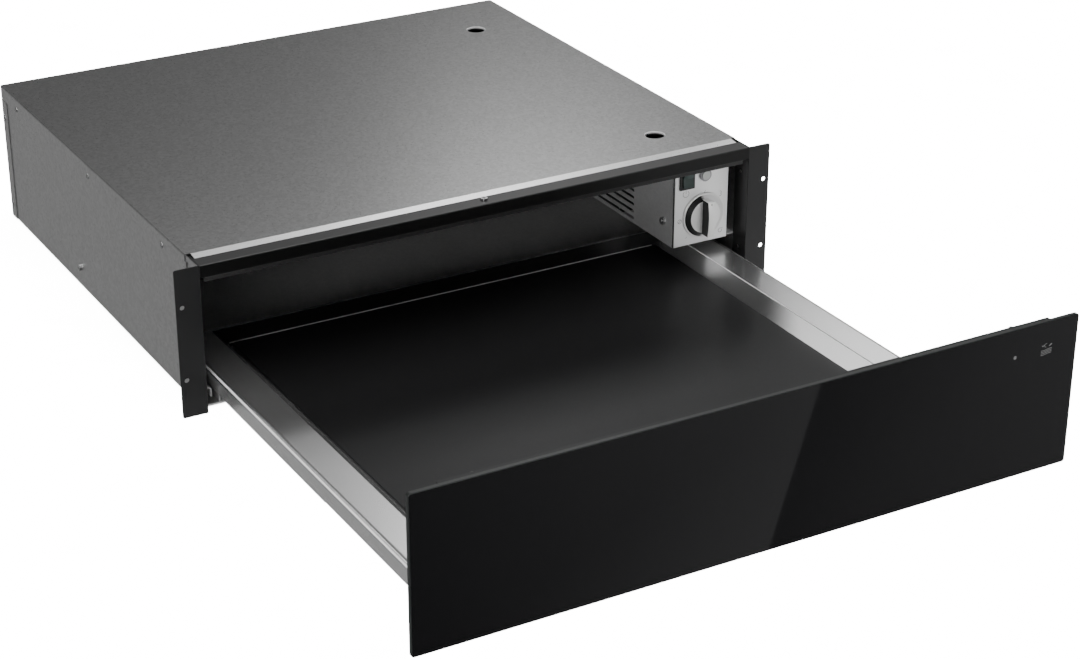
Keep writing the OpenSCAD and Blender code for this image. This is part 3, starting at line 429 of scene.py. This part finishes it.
# Marks printed on the glass: a dot over the lamp and a warmth sign
GLASS_FACE = -452.7
y = GLASS_FACE - 0.04
bm = bmesh.new()
ribbon(bm, arc(234.4, 114.0, 0.8, 0, 360, 24), 1.5, y)
for k in range(4):
    rise = 1.3 * k
    stroke = [(260.4, 109.5 + rise), (263.5, 109.6 + rise), (268.0, 110.3 + rise), (271.2, 110.4 + rise)]
    ribbon(bm, stroke, 0.55, y)
ribbon(bm, arc(262.1, 117.9, 0.8, 150, 400, 12), 0.5, y)
ribbon(bm, arc(265.2, 117.6, 1.5, 60, 280, 12), 0.55, y)
ribbon(bm, [(268.2, 116.3), (271.0, 118.0)], 0.9, y)
piece("front_marks", bm, coated("pale_print", grey(0.09), 0.5, 800), "drawer")

# Marks printed round the knob and beside the switch: strokes, a ring and plain figures
PLATE_FACE = -5
y = PLATE_FACE - 0.03
bm = bmesh.new()
for stroke, width in (
    (arc(216.9, 95.4, 3.2, 125, 415, 28), 0.45),
    ([(216.9, 95.6), (216.9, 99.2)], 0.45),
    (arc(210.6, 69.0, 2.0, 0, 360, 20), 0.45),
    ([(209.4, 67.6), (211.8, 70.4)], 0.45),
    ([(237.2, 92.8), (238.2, 95.2)], 0.5),
    (arc(254.9, 89.9, 1.2, 130, -90, 14), 0.45),
    (arc(254.9, 87.5, 1.2, 90, -130, 14), 0.45),
    (arc(256.0, 51.3, 2.0, 70, 380, 20), 0.45),
    ([(257.4, 52.8), (258.6, 53.4)], 0.45),
    ([(217.6, 50.6), (218.8, 52.0)], 0.35),
):
    ribbon(bm, stroke, width, y)
piece("plate_marks", bm, coated("print", grey(0.3), 0.5, 800), "casing")

# Knob: thin skirt, cone, front face and a grip with a bowed front, mm out from the knob's back
KNOB_X, KNOB_BACK, KNOB_Z = 236, -5.6, 71
SKIRT_AND_CONE = [
    (21.0, 0.0), (22.0, 0.0), (22.0, 0.8), (21.6, 1.15), (20.9, 1.2),
    (20.6, 1.35), (16.4, 4.3), (16.1, 4.5), (15.6, 4.6), (0.0, 4.6),
]
GRIP_RISE, GRIP_BOW, GRIP_HALF, GRIP_FOOT = 15.6, 1.8, 17.3, 1.0
GRIP_SECTION = ((-3.6, 0.5), (-3.45, 0.15), (-3.1, 0.0), (3.1, 0.0), (3.45, 0.15), (3.6, 0.5))
kc = mm(KNOB_X, KNOB_BACK, KNOB_Z)
bm = bmesh.new()
lathe(bm, kc, (0, -1, 0), SKIRT_AND_CONE, 96)
loops = []
for x, inset in GRIP_SECTION:
    half = GRIP_HALF - inset
    outline = [(GRIP_FOOT, -GRIP_HALF + inset)]
    for i in range(17):
        z = half * (i / 8 - 1)
        outline.append((GRIP_RISE - GRIP_BOW * (z / GRIP_HALF) ** 2 - inset, z))
    outline.append((GRIP_FOOT, half))
    loops.append([kc + Vector((x, -out, z)) / 1000 for out, z in outline])
rings(bm, loops)
knob = piece("knob_turned", bm, M["knob"], "knob", 30)
# Cone and grip sides are dark where they face left in the room: a painted reflection, standing in for polish
# that mirrors a dark cabinet
knob.data.materials.append(painted_by_direction("knob_side_painted_reflection", 0.25, 0.34, "X", -0.12, -0.02, 0.02, 0.82, ROOM))
for f in knob.data.polygons:
    out = (kc.y - f.center.y) * 1000
    on_grip_side = abs(f.normal.x) > 0.9 and out > 5
    on_cone = 1.3 < out < 4.4 and abs(f.normal.y) > 0.5
    if on_grip_side or on_cone:
        f.material_index = 1
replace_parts(knob, "thermostat_knob")

# The pointer's stroke lies on the bowed front near the grip's upper end
bm = bmesh.new()
ribbon(bm, [(KNOB_X, 83.5), (KNOB_X, 87.2)], 0.8, KNOB_BACK - GRIP_RISE - 0.03 + 1.25)
piece("knob_pointer", bm, coated("pointer", grey(0.02), 0.5, 800), "knob")

# Domed rivet heads on both side panels, with their shanks
RIVET_X = 275
DOME = [(3.0, 0.0), (3.0, 0.25), (2.7, 0.7), (2.0, 1.05), (1.3, 1.2), (1.05, 1.1), (0.8, 0.7), (0.0, 0.65)]
SHANK = [(1.6, 0.0), (1.6, 3.1)]
bm = bmesh.new()
for s in (-1, 1):
    for y, z in ((55, 127.0), (235, 127.0), (433, 127.0), (472.9, 14.7), (472.9, 105.0)):
        lathe(bm, mm(s * RIVET_X, y, z), (s, 0, 0), DOME)
        lathe(bm, mm(s * RIVET_X, y, z), (-s, 0, 0), SHANK)
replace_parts(piece("rivet_heads", bm, M["fastener"], "casing", 40), "casing_rivets")

# Rounded edges of the two holes in the cover: a rolled top over a short wall, as (radius, z); the rolled
# shape is real, its white is a painted highlight
HOLES_X, HOLES_Y = 213, (45, 397)
ROLL_R, ROLL_Z, ROLL = 9.8, 137.4, 0.6
quarter = [math.pi / 2 * i / 8 for i in range(9)]
rolled = [(ROLL_R - ROLL * math.sin(t), ROLL_Z + ROLL * math.cos(t)) for t in quarter]
section = [(9.75, 136.3)] + rolled + [(9.2, 136.3), (9.75, 136.3)]
bm = bmesh.new()
for y in HOLES_Y:
    loops = [[mm(HOLES_X + r * math.cos(t), y + r * math.sin(t), z) for t in turn(64)] for r, z in section]
    rings(bm, loops, cap=False)
bmesh.ops.remove_doubles(bm, verts=bm.verts, dist=1e-7)
# White, non-metal edge: painted highlight where the far side of each hole catches light
piece("cover_hole_edges", bm, brushed("hole_edge_painted_highlight", 1.0, 0.3, metallic=0.0), "casing", 50)

# A thin dark sheet on the inside of the back panel's vents
GAUZE = ((209, 86.5), (267, 86.5), (267, 120), (209, 120))
bm = bmesh.new()
rings(bm, [[mm(x, y, z) for x, z in GAUZE] for y in (477.0, 477.5)])
piece("vent_dark_sheet", bm, M["seal"], "casing")

# The open seam between the control box's wall and its plate, filled with a dark block as painted shade
SEAM_AT, SEAM_SIZE = (0.0007, -0.0001, 0.041), (0.0015, 0.0002, 0.082)
lo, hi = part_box("control_box")
bm = bmesh.new()
bmesh.ops.create_cube(bm, size=1)
for v in bm.verts:
    v.co = Vector([lo[i] + SEAM_AT[i] + v.co[i] * SEAM_SIZE[i] for i in range(3)])
piece("box_seam_painted_shade", bm, M["seal"], "casing")


# Stage: floor, world and lights
def hide(o, *rays):
    for kind in rays:
        setattr(o, "visible_" + kind, False)


def white_floor(name, z, glow, *hidden_from):
    """A square floor with its top at z, which some kinds of ray don't see"""
    edge, thick = 9, 0.02
    square = ((-edge, -edge), (edge, -edge), (edge, edge), (-edge, edge))
    bm = bmesh.new()
    rings(bm, [[(x, y, depth) for x, y in square] for depth in (-thick, 0)])
    white = coated(name, grey(0.92), 0.9, 30, Emission_Color=(1, 1, 1, 1), Emission_Strength=glow)
    o = new_object(name, bm, white)
    o.location = (0, 0, z)
    hide(o, *hidden_from)


white_floor("floor", 0, 2.6, "glossy", "camera")
# The camera sees the same floor burnt out to white, as the photograph has it
white_floor("floor_seen", -0.001, 7.0, "diffuse", "glossy", "shadow", "transmission", "volume_scatter")

world = bpy.data.worlds.new("studio")
scene.world = world
world.use_nodes = True
wt = world.node_tree


def wnode(kind, **values):
    n = wt.nodes.new(kind)
    for k, v in values.items():
        n.inputs[k.replace("_", " ")].default_value = v
    return n


def wramp(fac, *stops):
    n = wt.nodes.new("ShaderNodeValToRGB")
    r = n.color_ramp
    while len(r.elements) < len(stops):
        r.elements.new(0.5)
    for e, (pos, v) in zip(r.elements, stops):
        e.position, e.color = pos, (v, v, v, 1)
    wt.links.new(fac, n.inputs["Fac"])
    return n.outputs["Color"]


# Dark in front, paler behind; the stops run from straight down, 0, to straight up, 1
sep = wnode("ShaderNodeSeparateXYZ")
wt.links.new(wnode("ShaderNodeTexCoord").outputs["Generated"], sep.inputs[0])
height = wnode("ShaderNodeMapRange", From_Min=-1.0)
wt.links.new(sep.outputs["Z"], height.inputs["Value"])
behind = wnode("ShaderNodeMapRange", From_Min=-0.2, From_Max=0.6)
wt.links.new(sep.outputs["Y"], behind.inputs["Value"])
mix = wt.nodes.new("ShaderNodeMix")
mix.data_type = "RGBA"
wt.links.new(behind.outputs["Result"], mix.inputs["Factor"])
for key, stops in (
    ("A", ((0.0, 0.1), (0.45, 0.07), (0.55, 0.004), (1.0, 0.004))),
    ("B", ((0.0, 0.3), (0.45, 0.27), (0.55, 0.1), (1.0, 0.06))),
):
    wt.links.new(wramp(height.outputs["Result"], *stops), mix.inputs[key])
wt.links.new(mix.outputs["Result"], wt.nodes["Background"].inputs["Color"])

# The middle of the part, where two of the lights aim
MID = (0.0, -0.2, 0.1)


def toward(azimuth, elevation, distance):
    """A place seen from MID, azimuth degrees right of straight back and elevation degrees up"""
    a, e = math.radians(azimuth), math.radians(elevation)
    d = Vector((math.sin(a) * math.cos(e), math.cos(a) * math.cos(e), math.sin(e)))
    return Vector(MID) + d * distance


# Light boxes: name, place, aim, width and height in m, radiance
for name, place, aim, width, tall, radiance in (
    ("back_box", toward(31.8, 35, 3), MID, 0.46, 1.0, 2.95),
    ("lip_box", toward(20, 39, 3), MID, 0.9, 0.3, 1.6),
    ("plate_box", (0.85, -2.2, 0.15), (0.23, -0.24, 0.07), 0.6, 0.3, 12.0),
    ("back_left_box", (-1.305, 1.728, 1.927), (0.227, -0.5, 0.034), 0.6, 0.6, 3.2),
    ("back_right_box", (2.0, 1.58, 1.5), (0.25, -0.65, 0.03), 0.5, 0.5, 3.2),
    ("top_box", (0.1, -0.5, 2.4), (0, -0.3, 0), 2.6, 2.6, 3.0),
    ("front_left_box", (-1.7, -2.3, 0.8), (0.1, -0.2, 0.05), 1.0, 0.5, 10.0),
):
    light = bpy.data.lights.new(name, "AREA")
    light.shape = "RECTANGLE"
    light.size, light.size_y = width, tall
    light.energy = radiance * math.pi * width * tall
    o = bpy.data.objects.new(name, light)
    scene.collection.objects.link(o)
    o.location = place
    o.rotation_euler = (Vector(aim) - Vector(place)).to_track_quat("-Z", "Y").to_euler()


# A card that only reflections see, with a level of light at each corner: it shades the glass front
def card(name, *corners):
    bm = bmesh.new()
    layer = bm.verts.layers.float_color.new("level")
    verts = []
    for place, v in corners:
        vert = bm.verts.new(place)
        vert[layer] = (v, v, v, 1)
        verts.append(vert)
    bm.faces.new(verts)
    m = bpy.data.materials.new(name)
    m.use_nodes = True
    t = m.node_tree
    t.nodes.clear()
    out = t.nodes.new("ShaderNodeOutputMaterial")
    em = t.nodes.new("ShaderNodeEmission")
    at = t.nodes.new("ShaderNodeAttribute")
    at.attribute_name = "level"
    t.links.new(at.outputs["Color"], em.inputs["Color"])
    t.links.new(em.outputs["Emission"], out.inputs["Surface"])
    o = new_object(name, bm, m)
    hide(o, "camera", "diffuse", "shadow", "transmission", "volume_scatter")


# The slanting edge in the glass is the line where the first two cards meet; all lie below the floor's level
DEEP = -300
near, far = mm(620, -1202, DEEP), mm(250, -810, DEEP)
card("card_left", (mm(-150, -810, DEEP), 0.03), (mm(40, -1300, DEEP), 0.05), (near, 0.42), (far, 0.42))
card("card_right", (far, 0.1), (near, 0.1), (mm(1050, -1202, DEEP), 0.4), (mm(900, -700, DEEP), 0.45))
card(
    "card_near",
    (mm(330, -745, DEEP), 0.5), (mm(200, -250, DEEP), 0.75),
    (mm(1200, -250, DEEP), 0.8), (mm(1200, -700, DEEP), 0.8),
)
